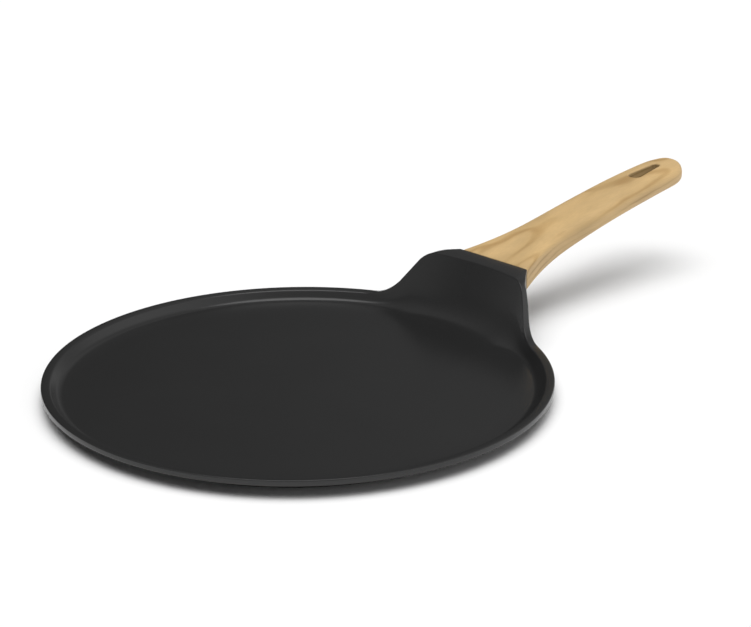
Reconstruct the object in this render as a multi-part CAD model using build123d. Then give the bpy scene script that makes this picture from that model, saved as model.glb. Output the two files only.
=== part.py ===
# Crepe pan: a shallow die-cast aluminium plate with a raised shoulder, an induction disc pressed
# into its underside, and a wooden handle held by one screw from below. Millimetres, +Z up.
# The origin is the centre of the base on the surface it stands on, and the handle points along +X.
import os
from math import copysign, cos, pi, radians, sin, sqrt, tan

from build123d import *

# Pan plate and rim
pan_diameter = 280.0
rim_height = 10.0
floor_thickness = 4.6
rim_land_width = 4.9
rim_band_height = 3.0
rim_wall_angle = 50.0
floor_corner_radius = 4.8
contact_inset = 14.0
base_edge_rise = 1.5
base_edge_run = 2.0
band_under_inset = 3.0
band_under_drop = 0.6

# Shoulder that rises from the rim to the handle
shoulder_height = 27.9
shoulder_top_width = 75.2
shoulder_slope_angle = 58.0
shoulder_top_radius = 13.0
shoulder_foot_radius = 20.7
scoop_overhang = 5.2
scoop_top_radius = 140.0
flare_overhang = 17.6
flare_top_radius = 54.0

# Pad on the back of the shoulder that the handle butts against
pad_overhang = 18.0
pad_width = 52.6
pad_height = 18.0
pad_side_angle = 38.0
pad_root_inset = 10.0
pad_corner_radius = 1.5

# Tongue of the casting inside the handle
tongue_length = 40.0
tongue_width = 20.0
tongue_thickness = 6.0
tongue_rise_angle = 12.5
tongue_cover = 2.8
tongue_clearance = 0.15
tongue_end_gap = 1.0

# Handle
handle_length = 170.0
handle_front_width = 52.6
handle_grip_width = 32.8
handle_tip_width = 28.2
handle_front_thickness = 16.4
handle_tip_thickness = 14.2
handle_rise = 28.4
handle_front_angle = 14.5
handle_sag = 0.75
handle_sag_peak = 0.25
handle_flare_length = 52.0
handle_taper_length = 68.0
handle_end_round_length = 17.3
handle_end_edge_length = 5.0
handle_top_squareness = 10.0
handle_under_squareness = 5.0
handle_tip_squareness = 2.5
squareness_fade = 4.3
end_round_power = 2.2
section_points = 40
front_edge_radius = 0.8

# Oval hanging slot, wider at its inner end
slot_length = 26.6
slot_inner_width = 8.6
slot_outer_width = 5.4
slot_tip_margin = 16.4
slot_edge_radius = 1.0
slot_clearance = 0.2

# Fixing screw and its washers
screw_diameter = 4.0
screw_head_diameter = 8.0
screw_head_height = 2.4
screw_head_edge_radius = 0.8
screw_setback = 24.0
screw_point_margin = 0.6
screw_hole_clearance = 0.25
thread_clearance = 0.03
cross_length = 4.4
cross_width = 0.9
cross_depth = 1.4
flat_washer_diameter = 9.0
flat_washer_thickness = 0.8
lock_washer_diameter = 7.6
lock_washer_thickness = 0.9
lock_washer_split = 0.8
washer_bore_clearance = 0.15
counterbore_clearance = 0.5
counterbore_seat = 2.0

# Induction disc
disc_inset = 18.0
disc_thickness = 0.6
disc_clearance = 0.1
pin_diameter = 4.0
pin_clearance = 0.05
pin_ring_pitch = 22.0
pin_edge_margin = 10.0
pins_per_ring_step = 6

# Overrun that carries each cut past the face it opens
overrun = 2.0

# Worked out from the sizes above
pan_radius = pan_diameter / 2
land_inner_radius = pan_radius - rim_land_width
contact_radius = pan_radius - contact_inset
disc_radius = contact_radius - disc_inset
shoulder_top = rim_height + shoulder_height
shoulder_foot_width = (shoulder_top_width + 2 * shoulder_height / tan(radians(shoulder_slope_angle))
                       + 2 * shoulder_foot_radius * tan(radians(shoulder_slope_angle / 2)))
shoulder_start = sqrt(land_inner_radius ** 2 - (shoulder_foot_width / 2) ** 2) - overrun
pad_face = pan_radius + pad_overhang
handle_front_z = shoulder_top - handle_front_thickness / 2
handle_tip = pad_face + handle_length


def turned(points):
    """Solid made by turning a closed outline of (radius, height) points about Z."""
    outline = Polyline(*[(radius, 0, height) for radius, height in points], close=True)
    return revolve(make_face(outline), Axis.Z)


def plate_blank():
    """Plate and rim without their hollow, as tall as the shoulder that is cut from it."""
    band_bottom = rim_height - rim_band_height
    return turned([
        (0, 0),
        (contact_radius, 0),
        (contact_radius + base_edge_run, base_edge_rise),
        (pan_radius - band_under_inset, band_bottom - band_under_drop),
        (pan_radius, band_bottom),
        (pan_radius, shoulder_top + overrun),
        (0, shoulder_top + overrun),
    ])


def cooking_hollow():
    """Space over the flat floor up to the rim, with a sloped wall and a round corner."""
    wall_run = (rim_height - floor_thickness) / tan(radians(rim_wall_angle))
    outline = FilletPolyline(
        (0, 0, floor_thickness),
        (land_inner_radius - wall_run, 0, floor_thickness),
        (land_inner_radius, 0, rim_height),
        (0, 0, rim_height),
        radius=(0, floor_corner_radius, 0, 0),
        close=True,
    )
    return revolve(make_face(outline), Axis.Z)


def leaning_cone(foot_radius, overhang, top_radius):
    """Cone from a circle at the rim to a smaller one, set forward, past the shoulder's top."""
    growth = 1 + overrun / shoulder_height
    head_centre = (pan_radius + overhang - top_radius) * growth
    head_radius = foot_radius + (top_radius - foot_radius) * growth
    foot = Edge.make_circle(foot_radius, Plane((0, 0, rim_height)))
    head = Edge.make_circle(head_radius, Plane((head_centre, 0, shoulder_top + overrun)))
    return Solid.make_loft([Wire([foot]), Wire([head])], ruled=True)


def space_above():
    """Everything above the rim and above the bell-shaped edge of the shoulder."""
    side = pan_radius + overrun
    ceiling = shoulder_top + 2 * overrun
    top_half = shoulder_top_width / 2
    foot_half = top_half + shoulder_height / tan(radians(shoulder_slope_angle))
    bell = FilletPolyline(
        (shoulder_start, -side, rim_height),
        (shoulder_start, -foot_half, rim_height),
        (shoulder_start, -top_half, shoulder_top),
        (shoulder_start, top_half, shoulder_top),
        (shoulder_start, foot_half, rim_height),
        (shoulder_start, side, rim_height),
        (shoulder_start, side, ceiling),
        (shoulder_start, -side, ceiling),
        radius=(0, shoulder_foot_radius, shoulder_top_radius, shoulder_top_radius,
                shoulder_foot_radius, 0, 0, 0),
        close=True,
    )
    reach = pad_face + overrun - shoulder_start
    over_shoulder = extrude(make_face(bell), reach, dir=(1, 0, 0))
    over_rim = Pos(-side, -side, rim_height) * Box(
        side + shoulder_start, 2 * side, ceiling - rim_height,
        align=(Align.MIN, Align.MIN, Align.MIN))
    return over_rim + over_shoulder


def handle_pad():
    """Thick pad behind the shoulder that the handle butts against: its sides spread towards the
    plate, and its underside slopes down to the rim."""
    root = pan_radius - pad_root_inset
    root_half = pad_width / 2 + (pad_face - root) * tan(radians(pad_side_angle))
    plan = Polyline(
        (root, -root_half, rim_height),
        (pad_face, -pad_width / 2, rim_height),
        (pad_face, pad_width / 2, rim_height),
        (root, root_half, rim_height),
        close=True,
    )
    pad = extrude(make_face(plan), shoulder_height + overrun)
    pad = fillet(pad.edges().filter_by(Axis.Z).group_by(Axis.X)[-1], pad_corner_radius)
    below = Polyline(
        (root, 0, rim_height),
        (pad_face + overrun, 0, shoulder_top - pad_height + overrun * (shoulder_height - pad_height)
         / (pad_face - root)),
        (pad_face + overrun, 0, rim_height - overrun),
        (root, 0, rim_height - overrun),
        close=True,
    )
    return pad - extrude(make_face(below), root_half + overrun, dir=(0, 1, 0), both=True)


def tongue_plane():
    """Plane on the tongue's middle at the pad's face: X along the tongue, Z out of its top."""
    rise = radians(tongue_rise_angle)
    middle = shoulder_top - tongue_cover - tongue_clearance - tongue_thickness / 2
    return Plane((pad_face, 0, middle), (cos(rise), 0, sin(rise)), (-sin(rise), 0, cos(rise)))


def tongue_bar(length, width, thickness, back):
    """Bar along the tongue's plane, from back before its origin to length past it."""
    return tongue_plane() * Pos(-back, 0, 0) * Box(
        back + length, width, thickness, align=(Align.MIN, Align.CENTER, Align.CENTER))


def screw_axis_cylinder(radius, low, high):
    """Cylinder on the screw's axis, between two heights in the tongue's plane."""
    return tongue_plane() * Pos(screw_setback, 0, low) * Cylinder(
        radius, high - low, align=(Align.CENTER, Align.CENTER, Align.MIN))


def screw_heights():
    """Heights in the tongue's plane: seat in the handle, under the head, head's end, point."""
    mortise_floor = -tongue_thickness / 2 - tongue_clearance
    seat = mortise_floor - counterbore_seat
    under_head = seat - flat_washer_thickness - lock_washer_thickness
    return seat, under_head, under_head - screw_head_height, tongue_thickness / 2 - screw_point_margin


def pin_places():
    """Places of the pins that hold the induction disc, in rings that gain pins outwards."""
    places = []
    for ring in range(1, int((disc_radius - pin_edge_margin) / pin_ring_pitch) + 1):
        places += PolarLocations(ring * pin_ring_pitch, ring * pins_per_ring_step).locations
    return places


def pins(radius):
    """Pins from the surface the pan stands on up to the pocket's ceiling."""
    pin = Cylinder(radius, disc_thickness, align=(Align.CENTER, Align.CENTER, Align.MIN))
    return [place * pin for place in pin_places()]


def pan_body():
    """The casting: plate, rim, shoulder, pad and tongue."""
    flare = leaning_cone(pan_radius, flare_overhang, flare_top_radius)
    scoop = leaning_cone(land_inner_radius, scoop_overhang, scoop_top_radius)
    body = plate_blank() + flare + handle_pad()
    body -= space_above()
    body -= cooking_hollow() + scoop
    body += tongue_bar(tongue_length, tongue_width, tongue_thickness, overrun)
    body -= screw_axis_cylinder(screw_diameter / 2 + thread_clearance, -tongue_thickness, tongue_thickness)
    pocket = Cylinder(disc_radius + disc_clearance, disc_thickness + overrun,
                      align=(Align.CENTER, Align.CENTER, Align.MAX))
    body -= Pos(0, 0, disc_thickness) * pocket
    return body + pins(pin_diameter / 2)


def induction_disc():
    """Thin steel disc with a hole for every pin."""
    disc = Cylinder(disc_radius, disc_thickness, align=(Align.CENTER, Align.CENTER, Align.MIN))
    return disc - pins(pin_diameter / 2 + pin_clearance)


def mix(start, end, share):
    return start + (end - start) * share


def end_rounding(distance, length):
    """Share of full size that is left at a distance from the tip of the handle."""
    inward = max(0, 1 - distance / length)
    return (1 - inward ** end_round_power) ** (1 / end_round_power)


def sag_shape(share):
    """Unscaled sag of the handle's middle line, deepest a quarter of the way along."""
    return share * (1 - share) ** 3


def handle_section(along):
    """Closed section of the handle at a distance from its front face."""
    share = along / handle_length
    flare = max(0, 1 - along / handle_flare_length) ** 2
    taper = max(0, 1 - (handle_length - along) / handle_taper_length) ** 2
    half_width = handle_grip_width + (handle_front_width - handle_grip_width) * flare
    half_width = (half_width - (handle_grip_width - handle_tip_width) * taper) / 2
    half_width *= end_rounding(handle_length - along, handle_end_round_length)
    half_thickness = mix(handle_front_thickness, handle_tip_thickness, share) / 2
    half_thickness *= end_rounding(handle_length - along, handle_end_edge_length)
    straight_rise = handle_length * tan(radians(handle_front_angle))
    centre = handle_front_z + straight_rise * share + (handle_rise - straight_rise) * share ** 2
    centre -= handle_sag * sag_shape(share) / sag_shape(handle_sag_peak)
    points = []
    for number in range(section_points):
        turn = 2 * pi * number / section_points
        front_squareness = handle_top_squareness if sin(turn) > 0 else handle_under_squareness
        squareness = mix(handle_tip_squareness, front_squareness, (1 - share) ** squareness_fade)
        across = copysign(abs(cos(turn)) ** (2 / squareness), cos(turn))
        up = copysign(abs(sin(turn)) ** (2 / squareness), sin(turn))
        points.append((pad_face + along, half_width * across, centre + half_thickness * up))
    return Wire([Spline(*points, periodic=True).edge()])


def handle_blank():
    """Handle without its holes, lofted through sections that crowd towards the round tip."""
    front_shares = (0, 0.04, 0.09, 0.15, 0.22, 0.31, 0.42, 0.54, 0.66, 0.78, 0.86)
    end_turns = (0, 20, 38, 54, 66, 76, 84, 88)
    places = [share * handle_length for share in front_shares]
    for turn in end_turns:
        places.append(handle_length - handle_end_round_length * (1 - sin(radians(turn))))
    return Solid.make_loft([handle_section(place) for place in places])


def hanging_slot():
    """Oval through the whole height near the handle's tip."""
    outer_end = handle_tip - slot_tip_margin
    ends = [
        Edge.make_circle(slot_outer_width / 2, Plane((outer_end - slot_outer_width / 2, 0, 0))),
        Edge.make_circle(slot_inner_width / 2, Plane((outer_end - slot_length + slot_inner_width / 2, 0, 0))),
    ]
    return extrude(make_hull(ends), shoulder_top + handle_rise + handle_front_thickness)


def handle():
    """Handle with its mortise, screw hole, counterbore and hanging slot."""
    seat, _, _, _ = screw_heights()
    body = handle_blank()
    body = fillet(body.faces().sort_by(Axis.X)[0].edges(), front_edge_radius)
    slot = hanging_slot()
    body -= slot
    slot_box = slot.bounding_box()
    lips = []
    for edge in body.edges():
        box = edge.bounding_box()
        inside = slot_box.min.X - slot_clearance < box.min.X and box.max.X < slot_box.max.X + slot_clearance
        if inside and box.size.Z < handle_tip_thickness / 2:
            lips.append(edge)
    body = fillet(lips, slot_edge_radius)
    body -= tongue_bar(
        tongue_length + tongue_end_gap, tongue_width + 2 * tongue_clearance,
        tongue_thickness + 2 * tongue_clearance, overrun)
    body -= screw_axis_cylinder(screw_diameter / 2 + screw_hole_clearance, seat - overrun, 0)
    counterbore = flat_washer_diameter / 2 + counterbore_clearance
    return body - screw_axis_cylinder(counterbore, seat - handle_front_thickness, seat)


def fixing_screw():
    """Machine screw with a low head and a cross recess."""
    _, under_head, head_end, point = screw_heights()
    head = screw_axis_cylinder(screw_head_diameter / 2, head_end, under_head)
    rim = head.edges().filter_by(GeomType.CIRCLE).sort_by(Axis.Z)[0]
    head = fillet(rim, screw_head_edge_radius)
    shank = screw_axis_cylinder(screw_diameter / 2, under_head, point)
    slot = Box(cross_length, cross_width, 2 * cross_depth)
    cross = tongue_plane() * Pos(screw_setback, 0, head_end) * (slot + Rot(0, 0, 90) * slot)
    return head + shank - cross


def washer(diameter, low, high):
    """Flat ring on the screw's shank."""
    bore = screw_diameter / 2 + washer_bore_clearance
    ring = screw_axis_cylinder(diameter / 2, low, high)
    return ring - screw_axis_cylinder(bore, low - overrun, high + overrun)


def flat_washer():
    """Washer on the wooden seat."""
    seat, _, _, _ = screw_heights()
    return washer(flat_washer_diameter, seat - flat_washer_thickness, seat)


def lock_washer():
    """Split spring washer, drawn flat by the tightened screw."""
    seat, under_head, _, _ = screw_heights()
    ring = washer(lock_washer_diameter, under_head, seat - flat_washer_thickness)
    split = tongue_plane() * Pos(screw_setback, 0, under_head - overrun) * Box(
        lock_washer_diameter, lock_washer_split, lock_washer_thickness + 2 * overrun,
        align=(Align.MIN, Align.CENTER, Align.MIN))
    return ring - split


pieces = {
    "pan_body": pan_body,
    "induction_disc": induction_disc,
    "handle": handle,
    "fixing_screw": fixing_screw,
    "flat_washer": flat_washer,
    "lock_washer": lock_washer,
}

os.makedirs("parts", exist_ok=True)
for name, build in pieces.items():
    export_step(build(), f"parts/{name}.step")
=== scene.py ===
from math import cos, pi, radians, sin, sqrt, tan

import bmesh
import bpy
import numpy as np
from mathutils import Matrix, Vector


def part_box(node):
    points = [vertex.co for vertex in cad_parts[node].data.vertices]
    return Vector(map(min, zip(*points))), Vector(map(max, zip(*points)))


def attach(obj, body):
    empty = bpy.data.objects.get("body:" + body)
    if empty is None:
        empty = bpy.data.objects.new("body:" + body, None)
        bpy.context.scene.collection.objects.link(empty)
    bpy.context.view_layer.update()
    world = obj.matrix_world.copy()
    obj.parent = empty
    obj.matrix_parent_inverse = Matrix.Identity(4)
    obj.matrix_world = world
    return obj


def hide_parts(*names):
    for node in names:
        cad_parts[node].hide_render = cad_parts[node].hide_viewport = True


# Crepe pan in metres, in the frame of its CAD model: +Z up, the handle along +X, the base on z = 0.
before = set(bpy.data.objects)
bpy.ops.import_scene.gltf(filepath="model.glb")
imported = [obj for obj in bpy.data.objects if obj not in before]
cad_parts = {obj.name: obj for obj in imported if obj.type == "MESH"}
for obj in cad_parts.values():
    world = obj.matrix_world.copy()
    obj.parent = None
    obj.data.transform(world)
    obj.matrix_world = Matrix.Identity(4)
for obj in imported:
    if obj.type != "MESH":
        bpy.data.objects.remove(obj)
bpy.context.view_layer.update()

mm = 0.001

# Sizes of the casting that its CAD box doesn't give
rim_height = 10 * mm
floor_thickness = 4.6 * mm
rim_land_width = 4.9 * mm
rim_band_height = 3 * mm
rim_wall_angle = radians(50)
contact_radius = 126 * mm
base_edge_rise = 1.5 * mm
base_edge_run = 2 * mm
band_under_inset = 3 * mm
band_under_drop = 0.6 * mm
shoulder_top = 37.9 * mm
shoulder_top_width = 75.2 * mm
shoulder_slope_angle = radians(58)
shoulder_top_radius = 13 * mm
shoulder_foot_radius = 20.7 * mm
scoop_reach = 145.2 * mm
scoop_top_radius = 140 * mm
flare_reach = 157.6 * mm
flare_top_radius = 54 * mm
pad_width = 52.6 * mm
pad_height = 18 * mm
pad_root_inset = 10 * mm
pad_side_angle = radians(38)
pad_corner_radius = 1.5 * mm
disc_clearance = 0.1 * mm

# Small rounded edges of the casting
inner_edge_rounding = 0.7 * mm
outer_edge_rounding = 0.8 * mm
floor_corner_rounding = 2.2 * mm
scoop_foot_rounding = 12 * mm
under_edge_rounding = 0.3 * mm
crease_rounding = 1.5 * mm

# The land leans inwards a little: its inner edge lies lower, and its outer edge higher until it is rounded
land_dip = 0.2 * mm
rim_crown = 0.25 * mm

# Distance within which a corner of the CAD's mesh lies on a face, and within which corners are one
touch_limit = 0.02 * mm
merge_limit = 0.0001 * mm

# Rise of the shoulder's edge below which a column counts as rim
flat_limit = 0.01 * mm

# Width of the floor's edge that is meshed with the wall
floor_grid_width = 40 * mm

# The wall's rows stop this many edge roundings short of its edge, and their rounding fades by this share
wall_stop = 1.6
wall_fade = 0.8

# Creases of a rear that the pad doesn't reach, as shares of its height above the rim
under_share, foot_share = 0.3, 0.1

# Edges that turn more than this are shaded sharp
sharp_angle = radians(40)

# Columns of half the pan, from the shoulder's middle: the pad's face and corner, the rest of the flat top,
# the round end of the top, the slope, its round foot, and the rim
pad_columns, corner_columns, flat_columns = 10, 4, 3
top_columns, slope_columns, foot_columns, rim_columns = 12, 9, 15, 120

# Rings of the flat floor, then rows of one column: the floor's edge, the wall, the land's two edges
floor_rings, floor_rows, wall_rows, inner_edge_rows, outer_edge_rows = 6, 4, 25, 7, 5

# More rows of one column: the shoulder's back, the pad's underside, the band's lower edge
back_rows, underside_rows, band_edge_rows = 6, 6, 4

# Steps of a column's path up the scoop, and down its rear to the pad's under edge, the flare and the rim
scoop_steps = 23
face_steps, under_steps, foot_steps = 11, 7, 4

# Samples that a smoothed point averages, and halvings that find where the pad's underside meets the flare
smooth_samples, halvings = 17, 40

# Places that the frame gives
pan_radius = -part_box("pan_body")[0].x
pad_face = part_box("handle")[0].x
disc_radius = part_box("induction_disc")[1].x
disc_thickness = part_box("induction_disc")[1].z
pocket_radius = disc_radius + disc_clearance
land_inner_radius = pan_radius - rim_land_width
floor_radius = land_inner_radius - (rim_height - floor_thickness) / tan(rim_wall_angle)
shoulder_height = shoulder_top - rim_height


def mix(start, end, share):
    return start + (end - start) * share


def halfway(start, end):
    return mix(start, end, 0.5)


def spread(start, end, count):
    """Evenly spaced values up to the end, without the start."""
    return np.linspace(start, end, count + 1)[1:]


def between(start, end, count):
    """Evenly spaced values without either end."""
    return np.linspace(start, end, count + 2)[1:-1]


def around(middle, reach, count):
    """Evenly spaced values from a reach before the middle to a reach after it."""
    return middle + reach * np.linspace(-1, 1, count)


def polar(radius, angle, height):
    return np.array((radius * cos(angle), radius * sin(angle), height))


class Bell:
    """Edge of the shoulder seen along X: half widths and heights where its straight and round parts meet."""

    top_turn = shoulder_top_radius * tan(shoulder_slope_angle / 2)
    foot_turn = shoulder_foot_radius * tan(shoulder_slope_angle / 2)
    foot_corner = shoulder_top_width / 2 + shoulder_height / tan(shoulder_slope_angle)
    flat_end = shoulder_top_width / 2 - top_turn
    slope_start = shoulder_top_width / 2 + top_turn * cos(shoulder_slope_angle)
    slope_end = foot_corner - foot_turn * cos(shoulder_slope_angle)
    foot_end = foot_corner + foot_turn

    @classmethod
    def height(cls, across):
        """Height of the edge at a distance from the middle plane."""
        if across <= cls.flat_end:
            return shoulder_top
        if across <= cls.slope_start:
            fall = shoulder_top_radius - sqrt(shoulder_top_radius ** 2 - (across - cls.flat_end) ** 2)
            return shoulder_top - fall
        if across <= cls.slope_end:
            return cls.height(cls.slope_start) - (across - cls.slope_start) * tan(shoulder_slope_angle)
        if across < cls.foot_end:
            inward = cls.foot_end - across
            return rim_height + shoulder_foot_radius - sqrt(shoulder_foot_radius ** 2 - inward ** 2)
        return rim_height


def cone_point(across, height, foot_radius, top_reach, top_radius):
    """Point on a leaning cone's front at a distance from the middle plane and at a height."""
    share = (height - rim_height) / shoulder_height
    radius = mix(foot_radius, top_radius, share)
    reach = (top_reach - top_radius) * share + sqrt(radius ** 2 - across ** 2)
    return np.array((reach, across, height))


def scoop_point(across, height):
    return cone_point(across, height, land_inner_radius, scoop_reach, scoop_top_radius)


def flare_point(across, height):
    return cone_point(across, height, pan_radius, flare_reach, flare_top_radius)


class Pad:
    """Pad behind the shoulder: its face along X, the round corners and the spreading sides."""

    half = pad_width / 2
    turn = pi / 2 - pad_side_angle
    corner_start = half - pad_corner_radius * tan(turn / 2)
    corner_end = corner_start + pad_corner_radius * sin(turn)
    root = pan_radius - pad_root_inset

    @classmethod
    def rear(cls, across):
        """X of its face or side at a distance from the middle plane."""
        if across <= cls.corner_start:
            return pad_face
        if across <= cls.corner_end:
            turned = sqrt(pad_corner_radius ** 2 - (across - cls.corner_start) ** 2)
            return pad_face - pad_corner_radius + turned
        start = pad_face - pad_corner_radius * (1 - cos(cls.turn))
        return start - (across - cls.corner_end) / tan(pad_side_angle)

    @classmethod
    def slope(cls):
        """How far the underside reaches back for each unit that it rises."""
        return (pad_face - cls.root) / (shoulder_height - pad_height)

    @classmethod
    def underside(cls, height):
        """X of its sloped underside at a height."""
        return cls.root + (height - rim_height) * cls.slope()

    @classmethod
    def under_edge(cls, across):
        """Height of the lower edge of its face or side."""
        return rim_height + (cls.rear(across) - cls.root) / cls.slope()

    @classmethod
    def foot(cls, across):
        """Height where its underside meets the flare."""
        low, high = rim_height, cls.under_edge(across)
        for _ in range(halvings):
            middle = (low + high) / 2
            if flare_point(across, middle)[0] > cls.underside(middle):
                low = middle
            else:
                high = middle
        return low


def rear_point(across, height):
    """Point of the shoulder's rear, on the flare or on the pad, whichever reaches further."""
    point = flare_point(across, height)
    point[0] = max(point[0], min(Pad.rear(across), Pad.underside(height)))
    return point


class Path:
    """Open line through points, read at a distance along it and smoothed over a stretch each side."""

    def __init__(self, points):
        self.points = np.array(points)
        steps = np.linalg.norm(np.diff(self.points, axis=0), axis=1)
        self.marks = np.concatenate(([0], np.cumsum(steps)))

    def at(self, distance):
        return np.array([np.interp(distance, self.marks, self.points[:, axis]) for axis in range(3)])

    def smooth(self, distance, stretch):
        return np.mean([self.at(sample) for sample in around(distance, stretch, smooth_samples)], axis=0)


def column(y):
    """One column of the half with y above zero: inner angle, outer angle, y and height of its top."""
    return np.arcsin(y / land_inner_radius), np.arcsin(y / pan_radius), y, Bell.height(y)


def columns():
    """Columns of the half with y above zero, from the middle of the shoulder round to the front."""
    made = [column(y) for y in np.linspace(0, Pad.corner_start, pad_columns)]
    for share in spread(0, 1, corner_columns):
        made.append(column(Pad.corner_start + pad_corner_radius * sin(Pad.turn * share)))
    made += [column(y) for y in spread(Pad.corner_end, Bell.flat_end, flat_columns)]
    for turn in spread(0, shoulder_slope_angle, top_columns):
        made.append(column(Bell.flat_end + shoulder_top_radius * sin(turn)))
    made += [column(y) for y in spread(Bell.slope_start, Bell.slope_end, slope_columns)]
    for turn in spread(shoulder_slope_angle, 0, foot_columns):
        made.append(column(Bell.foot_end - shoulder_foot_radius * sin(turn)))
    inner_start = np.arcsin(Bell.foot_end / land_inner_radius)
    outer_start = np.arcsin(Bell.foot_end / pan_radius)
    for share in spread(0, 1, rim_columns):
        made.append((mix(inner_start, pi, share), mix(outer_start, pi, share), None, rim_height))
    return made


def inner_path(angle, top, raised):
    """Floor, wall and scoop of one column, from the floor's flat middle out to the land's inner edge."""
    points = [
        polar(floor_radius - floor_grid_width, angle, floor_thickness),
        polar(floor_radius, angle, floor_thickness),
        polar(land_inner_radius, angle, rim_height - land_dip * (1 - raised)),
    ]
    if top > rim_height:
        across = land_inner_radius * sin(angle)
        points += [scoop_point(across, height) for height in spread(rim_height, top, scoop_steps)]
    return points


def rear_path(across, outer_angle, top):
    """Rear of one column, from its top down to the rim, with creases after its first two stretches."""
    if across is None or top <= rim_height + flat_limit:
        return [polar(pan_radius, outer_angle, rim_height + rim_crown)]
    under, foot = mix(rim_height, top, under_share), mix(rim_height, top, foot_share)
    pad_under = min(Pad.under_edge(across), top)
    if Pad.rear(across) > flare_point(across, pad_under)[0]:
        under, foot = pad_under, Pad.foot(across)
    heights = [top, *spread(top, under, face_steps), *spread(under, foot, under_steps)]
    heights += [*spread(foot, rim_height, foot_steps)]
    return [rear_point(across, height) for height in heights]


def lower_path(angle, raised):
    """Band, underside and base of one column, from the rim down and in to the disc's pocket."""
    band_bottom = rim_height - rim_band_height
    return [
        polar(pan_radius, angle, rim_height + rim_crown * (1 - raised)),
        polar(pan_radius, angle, band_bottom),
        polar(pan_radius - band_under_inset, angle, band_bottom - band_under_drop),
        polar(contact_radius + base_edge_run, angle, base_edge_rise),
        polar(contact_radius, angle, 0),
        polar(pocket_radius, angle, 0),
    ]


def column_points(inner_angle, outer_angle, across, top):
    """Points of one column, from the floor over the land and the rear to the base."""
    raised = (top - rim_height) / shoulder_height
    inner = inner_path(inner_angle, top, raised)
    rear = rear_path(across, outer_angle, top)
    path = Path(inner + rear + lower_path(outer_angle, raised))
    marks = path.marks
    corner, edge, outer = marks[1], marks[len(inner) - 1], marks[len(inner)]
    band_top, band_low, under, rise, contact, pocket = marks[-6:]
    under_crease, foot_crease = outer, outer
    if len(rear) > 1:
        under_crease = marks[len(inner) + face_steps]
        foot_crease = marks[len(inner) + face_steps + under_steps]
    corner_stretch = mix(floor_corner_rounding, scoop_foot_rounding, raised)
    crease_stretch = crease_rounding * raised
    rows = []
    reached = 0

    def add(distances, stretch):
        """Add rows at distances along the path, none of them behind the last one."""
        nonlocal reached
        for distance in distances:
            reached = max(reached, distance)
            rows.append(path.smooth(reached, stretch))

    # Floor and wall, whose rounding is no wider than what is left up to the wall's edge
    add(np.linspace(0, corner - corner_stretch, floor_rows + 1)[:-1], 0)
    wall_end = edge - wall_stop * inner_edge_rounding
    for distance in np.linspace(corner - corner_stretch, wall_end, wall_rows):
        near_edge = max(inner_edge_rounding, wall_fade * (edge - distance))
        add([distance], min(corner_stretch, near_edge, distance))

    # Land between its two rounded edges
    add(around(edge, inner_edge_rounding, inner_edge_rows), inner_edge_rounding)
    add([halfway(edge + inner_edge_rounding, outer - outer_edge_rounding)], 0)
    add(around(outer, outer_edge_rounding, outer_edge_rows), outer_edge_rounding)

    # Back of the shoulder, down to the pad's under edge and along its underside
    rear_start = outer + outer_edge_rounding
    crease = max(rear_start, under_crease - crease_stretch)
    add(between(rear_start, crease, back_rows), outer_edge_rounding)
    add([crease, under_crease], crease_stretch)
    add(np.linspace(under_crease + crease_stretch, foot_crease, underside_rows), crease_stretch)

    # Band, underside and base
    add([band_top], outer_edge_rounding * raised)
    add([halfway(reached, band_low - under_edge_rounding)], under_edge_rounding)
    add(around(band_low, under_edge_rounding, band_edge_rows), under_edge_rounding)
    add([under, halfway(under, rise), rise, contact, halfway(contact, pocket)], under_edge_rounding)
    rows.append(polar(pocket_radius, outer_angle, 0))
    rows.append(polar(pocket_radius, outer_angle, disc_thickness))
    return rows


def mesh_object(name, bm):
    """New object with a mesh that is shaded smooth, apart from its sharp edges."""
    mesh = bpy.data.meshes.new(name)
    bm.to_mesh(mesh)
    bm.free()
    mesh.shade_smooth()
    mesh.set_sharp_from_angle(angle=sharp_angle)
    piece = bpy.data.objects.new(name, mesh)
    bpy.context.scene.collection.objects.link(piece)
    return piece


def is_tongue(face):
    """Whether a face of the CAD casting lies past the pad's face."""
    reaches = [corner.co.x - pad_face for corner in face.verts]
    return min(reaches) > -touch_limit and max(reaches) > touch_limit


def is_pin(face):
    """Whether a face of the CAD casting is the side or end of a pin in the disc."""
    heights = [corner.co.z for corner in face.verts]
    inside = all(corner.co.xy.length < disc_radius for corner in face.verts)
    return inside and min(heights) < touch_limit and max(heights) < disc_thickness + touch_limit


def add_capped(bm, is_kept):
    """Add the CAD casting's faces that pass a test, closed where they leave the casting."""
    taken = bmesh.new()
    taken.from_mesh(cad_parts["pan_body"].data)
    bmesh.ops.remove_doubles(taken, verts=taken.verts, dist=merge_limit)
    left_out = [face for face in taken.faces if not is_kept(face)]
    bmesh.ops.delete(taken, geom=left_out, context="FACES")
    bmesh.ops.holes_fill(taken, edges=[edge for edge in taken.edges if edge.is_boundary])
    mesh = bpy.data.meshes.new("taken")
    taken.to_mesh(mesh)
    taken.free()
    bm.from_mesh(mesh)
    bpy.data.meshes.remove(mesh)


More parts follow.
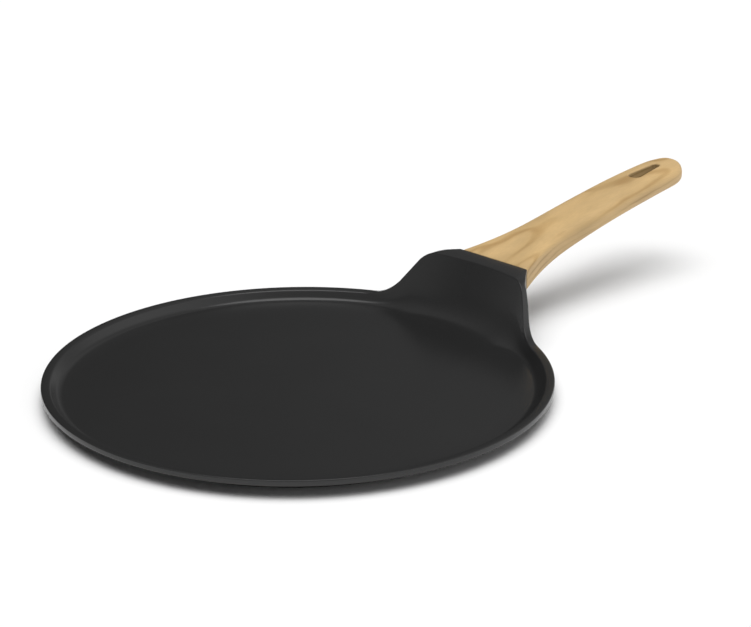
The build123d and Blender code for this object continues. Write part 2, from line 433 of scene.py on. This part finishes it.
def pan_mesh():
    """The casting as one closed grid of columns round the pan, with the tongue and the disc's pins."""
    half = [column_points(*place) for place in columns()]
    mirrored = [[point * (1, -1, 1) for point in rows] for rows in half[-2:0:-1]]
    bm = bmesh.new()
    grid = [[bm.verts.new(point) for point in rows] for rows in half + mirrored]
    rings = []
    for share in between(1, 0, floor_rings):
        rings.append([bm.verts.new(rows[0] * (share, share, 1)) for rows in half + mirrored])
    floor_centre = bm.verts.new((0, 0, floor_thickness))
    base_centre = bm.verts.new((0, 0, disc_thickness))
    count = len(grid)
    for number in range(count):
        here, there = grid[number], grid[(number + 1) % count]
        for row in range(len(here) - 1):
            bm.faces.new((here[row], here[row + 1], there[row + 1], there[row]))
        ring_here = [here[0]] + [ring[number] for ring in rings]
        ring_there = [there[0]] + [ring[(number + 1) % count] for ring in rings]
        for row in range(len(ring_here) - 1):
            bm.faces.new((ring_there[row], ring_there[row + 1], ring_here[row + 1], ring_here[row]))
        bm.faces.new((ring_there[-1], floor_centre, ring_here[-1]))
        bm.faces.new((here[-1], base_centre, there[-1]))
    bmesh.ops.remove_doubles(bm, verts=bm.verts, dist=merge_limit)
    for is_kept in (is_tongue, is_pin):
        add_capped(bm, is_kept)
    bmesh.ops.recalc_face_normals(bm, faces=bm.faces)
    return mesh_object("pan", bm)


def grey(level):
    return level, level, level, 1


def feed(tree, made, inputs):
    """Set a node's inputs by name or number, or link them where the value is another node's output."""
    for name, value in inputs.items():
        if isinstance(value, bpy.types.NodeSocket):
            tree.links.new(value, made.inputs[name])
        else:
            made.inputs[name].default_value = value


def node(tree, kind, inputs=(), **settings):
    """New node with its settings, then its inputs."""
    made = tree.nodes.new(kind)
    for name, value in settings.items():
        setattr(made, name, value)
    feed(tree, made, dict(inputs))
    return made


def new_material(name):
    """New material, its node tree and its shader."""
    material = bpy.data.materials.new(name)
    material.use_nodes = True
    tree = material.node_tree
    return material, tree, tree.nodes["Principled BSDF"]


def object_place(tree):
    """Place of a point in the object's own frame."""
    return node(tree, "ShaderNodeTexCoord").outputs["Object"]


def ranged(tree, value, levels, start=0, end=1):
    """Value that runs between two levels while another one runs from start to end."""
    return node(tree, "ShaderNodeMapRange", {
        "Value": value, "From Min": start, "From Max": end, "To Min": levels[0], "To Max": levels[1],
    }).outputs["Result"]


def combined(tree, operation, first, second):
    return node(tree, "ShaderNodeMath", {0: first, 1: second}, operation=operation).outputs["Value"]


def blended(tree, share, first, second):
    """Colour between two others."""
    mixed = node(tree, "ShaderNodeMix", {"Factor": share, "A": first, "B": second}, data_type="RGBA")
    return mixed.outputs["Result"]


def bumped(tree, height, strength, depth):
    """Normal of a surface with fine bumps."""
    return node(tree, "ShaderNodeBump", {
        "Height": height, "Strength": strength, "Distance": depth,
    }).outputs["Normal"]


def noise(tree, place, scale, detail, output="Fac"):
    made = node(tree, "ShaderNodeTexNoise", {"Vector": place, "Scale": scale, "Detail": detail})
    return made.outputs[output]


def stretched_noise(tree, place, scales, detail, output="Fac"):
    """Noise with its own scale along each axis."""
    stretched = node(tree, "ShaderNodeMapping", {"Vector": place, "Scale": scales}).outputs["Vector"]
    return noise(tree, stretched, scale=1.0, detail=detail, output=output)


def coating():
    """Satin black non-stick coat with a very fine grain and a slightly uneven tone and gloss."""
    dark, light = grey(0.014), grey(0.0165)
    material, tree, shader = new_material("coating")
    place = object_place(tree)
    grain = noise(tree, place, scale=2600.0, detail=2.0)
    cloud = noise(tree, place, scale=18.0, detail=3.0)
    feed(tree, shader, {
        "Base Color": blended(tree, cloud, dark, light),
        "Roughness": ranged(tree, cloud, levels=(0.20, 0.25)),
        "Normal": bumped(tree, grain, strength=0.12, depth=0.05 * mm),
        "Specular IOR Level": 0.5,
    })
    return material


def ring_colour(tree, place):
    """Colour of growth rings round an axis that leans with the handle and drifts from side to side."""
    axis_place, axis_lean, drift_reach = (0, -6 * mm, 35 * mm), (0, radians(9.6), 0), (0, 7 * mm, 7 * mm)
    early, middle, late = (0.66, 0.455, 0.218, 1), (0.62, 0.42, 0.193, 1), (0.47, 0.29, 0.112, 1)
    middle_share, ring_scale = 0.75, 95.0
    leaning = node(tree, "ShaderNodeMapping", {
        "Vector": place, "Location": axis_place, "Rotation": axis_lean}).outputs["Vector"]
    wander = stretched_noise(tree, place, scales=(14, 45, 45), detail=2.0, output="Color")
    drift = node(tree, "ShaderNodeVectorMath", {0: wander, 1: drift_reach}, operation="MULTIPLY")
    bent = node(tree, "ShaderNodeVectorMath", {0: leaning, 1: drift.outputs["Vector"]}, operation="ADD")
    rings = node(tree, "ShaderNodeTexWave", {"Vector": bent.outputs["Vector"], "Scale": ring_scale},
                 wave_type="RINGS", rings_direction="X", wave_profile="SIN")
    tone = node(tree, "ShaderNodeValToRGB", {"Fac": rings.outputs["Fac"]})
    ends = tone.color_ramp.elements
    ends[0].position, ends[0].color = 0.0, early
    ends[1].position, ends[1].color = 1.0, late
    ends.new(middle_share).color = middle
    return tone.outputs["Color"]


def wood():
    """Light satin wood, sawn flat: faint wide rings that open into loops along the handle."""
    plain, bounced, bounced_share = (0.63, 0.43, 0.198, 1), grey(0.35), 0.85
    material, tree, shader = new_material("wood")
    place = object_place(tree)
    presence = stretched_noise(tree, place, scales=(20, 60, 60), detail=1.0)
    ring_share = ranged(tree, presence, levels=(0.1, 0.9), start=0.35, end=0.65)
    ringed = blended(tree, ring_share, plain, ring_colour(tree, place))
    blotches = stretched_noise(tree, place, scales=(28, 75, 75), detail=2.0)
    fibres = stretched_noise(tree, place, scales=(40, 1500, 1500), detail=2.0)
    blotch_tone = ranged(tree, blotches, levels=(0.88, 1.06), start=0.3, end=0.7)
    fibre_tone = ranged(tree, fibres, levels=(0.95, 1.03), start=0.3, end=0.7)
    brightness = combined(tree, "MULTIPLY", blotch_tone, fibre_tone)
    tone = node(tree, "ShaderNodeVectorMath", {0: ringed, "Scale": brightness}, operation="SCALE")

    # Greyer on diffuse bounces alone, so that the wood doesn't tint the white floor
    rays = node(tree, "ShaderNodeLightPath")
    bounce = combined(tree, "MULTIPLY", rays.outputs["Is Diffuse Ray"], bounced_share)
    feed(tree, shader, {
        "Base Color": blended(tree, bounce, tone.outputs["Vector"], bounced),
        "Normal": bumped(tree, fibres, strength=0.15, depth=0.05 * mm),
        "Roughness": 0.5,
    })
    return material


def brushed_steel(name, tone, ring_scale):
    """Stainless steel with fine marks."""
    material, tree, shader = new_material(name)
    marks = node(tree, "ShaderNodeTexWave", {
        "Vector": object_place(tree), "Scale": ring_scale, "Distortion": 3.0, "Detail": 3.0,
    }, wave_type="RINGS", rings_direction="Z").outputs["Fac"]
    feed(tree, shader, {
        "Base Color": (*tone, 1),
        "Metallic": 1,
        "Roughness": ranged(tree, marks, levels=(0.28, 0.42)),
        "Normal": bumped(tree, marks, strength=0.1, depth=0.02 * mm),
    })
    return material


def seen_rays(tree):
    """1 on rays that show a surface to the camera, straight or in a mirror or glass."""
    rays = node(tree, "ShaderNodeLightPath").outputs
    both = combined(tree, "MAXIMUM", rays["Is Camera Ray"], rays["Is Glossy Ray"])
    return combined(tree, "MAXIMUM", both, rays["Is Transmission Ray"])


def world_light():
    """World with a dark side and two bright ones for the coat to mirror; it lights matt surfaces less."""
    dark_side, right_panel, left_panel = (0.342, 0.940, 0), (0.47, -0.81, 0.34), (-0.93, -0.25, 0.26)
    diffuse_share = 0.15
    world = bpy.data.worlds.new("world")
    bpy.context.scene.world = world
    world.use_nodes = True
    tree = world.node_tree
    place = node(tree, "ShaderNodeTexCoord").outputs["Generated"]
    height = node(tree, "ShaderNodeSeparateXYZ", {"Vector": place}).outputs["Z"]

    def facing(towards):
        """1 where the world lies straight towards a direction, and less to its sides."""
        dot = node(tree, "ShaderNodeVectorMath", {0: place, 1: towards}, operation="DOT_PRODUCT")
        return dot.outputs["Value"]

    level = ranged(tree, facing(dark_side), levels=(0.30, 0.02), start=0.67, end=0.93)
    for light in (
        ranged(tree, height, levels=(0.09, 0), start=0.02, end=0.24),
        ranged(tree, facing(right_panel), levels=(0, 0.75), start=0.5, end=0.95),
        ranged(tree, facing(left_panel), levels=(0, 0.35), start=0.7, end=0.95),
    ):
        level = combined(tree, "ADD", level, light)
    seen_share = ranged(tree, seen_rays(tree), levels=(diffuse_share, 1))
    feed(tree, tree.nodes["Background"], {
        "Strength": combined(tree, "MULTIPLY", level, seen_share),
        "Color": grey(1),
    })


def lamps():
    """Soft sun lamps, of which only the key shows in the coat."""
    overhead, from_side = (0, 0, 1), (0.25, -0.89, 0.37)
    for name, energy, spread_degrees, towards in (
        ("key", 0.75, 38, overhead),
        ("fill", 2.16, 76, overhead),
        ("side", 0.3, 50, from_side),
    ):
        lamp = bpy.data.lights.new(name, "SUN")
        lamp.energy = energy
        lamp.angle = radians(spread_degrees)
        holder = bpy.data.objects.new(name, lamp)
        holder.rotation_mode = "QUATERNION"
        holder.rotation_quaternion = Vector(towards).to_track_quat("Z", "Y")
        holder.visible_glossy = name == "key"
        bpy.context.scene.collection.objects.link(holder)


def white_floor():
    half_size = 7
    bm = bmesh.new()
    bmesh.ops.create_grid(bm, x_segments=2, y_segments=2, size=half_size)
    floor = mesh_object("floor", bm)
    material, tree, shader = new_material("floor_white")
    feed(tree, shader, {"Base Color": grey(1), "Roughness": 1, "Specular IOR Level": 0})
    floor.data.materials.append(material)


def camera():
    """Camera at the photograph's viewing angle; the image is 751 by 627.

    The focal length is a choice, since the rim's outline fits others equally well.
    """
    image_width, focal_pixels, sensor_width = 751, 2200, 36
    elevation, turn = radians(20.5), radians(44.9)
    place = (-0.7587, -0.8210, 0.4627)
    data = bpy.data.cameras.new("camera")
    data.sensor_width = sensor_width
    data.lens = sensor_width * focal_pixels / image_width
    holder = bpy.data.objects.new("camera", data)
    holder.location = place
    forward = Vector((cos(elevation) * sin(turn), cos(elevation) * cos(turn), -sin(elevation)))
    holder.rotation_mode = "QUATERNION"
    holder.rotation_quaternion = forward.to_track_quat("-Z", "Y")
    bpy.context.scene.collection.objects.link(holder)
    bpy.context.scene.camera = holder


bpy.context.scene.view_settings.view_transform = "Standard"
camera()
white_floor()
world_light()
lamps()

pan = pan_mesh()
pan.data.materials.append(coating())
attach(pan, "root")
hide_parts("pan_body")

finishes = {
    "handle": wood(),
    "induction_disc": brushed_steel("disc_steel", tone=(0.55, 0.55, 0.54), ring_scale=220),
    "fixing_screw": brushed_steel("fastener_steel", tone=(0.5, 0.5, 0.5), ring_scale=900),
}
finishes["flat_washer"] = finishes["lock_washer"] = finishes["fixing_screw"]
for name, finish in finishes.items():
    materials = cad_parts[name].data.materials
    materials.clear()
    materials.append(finish)
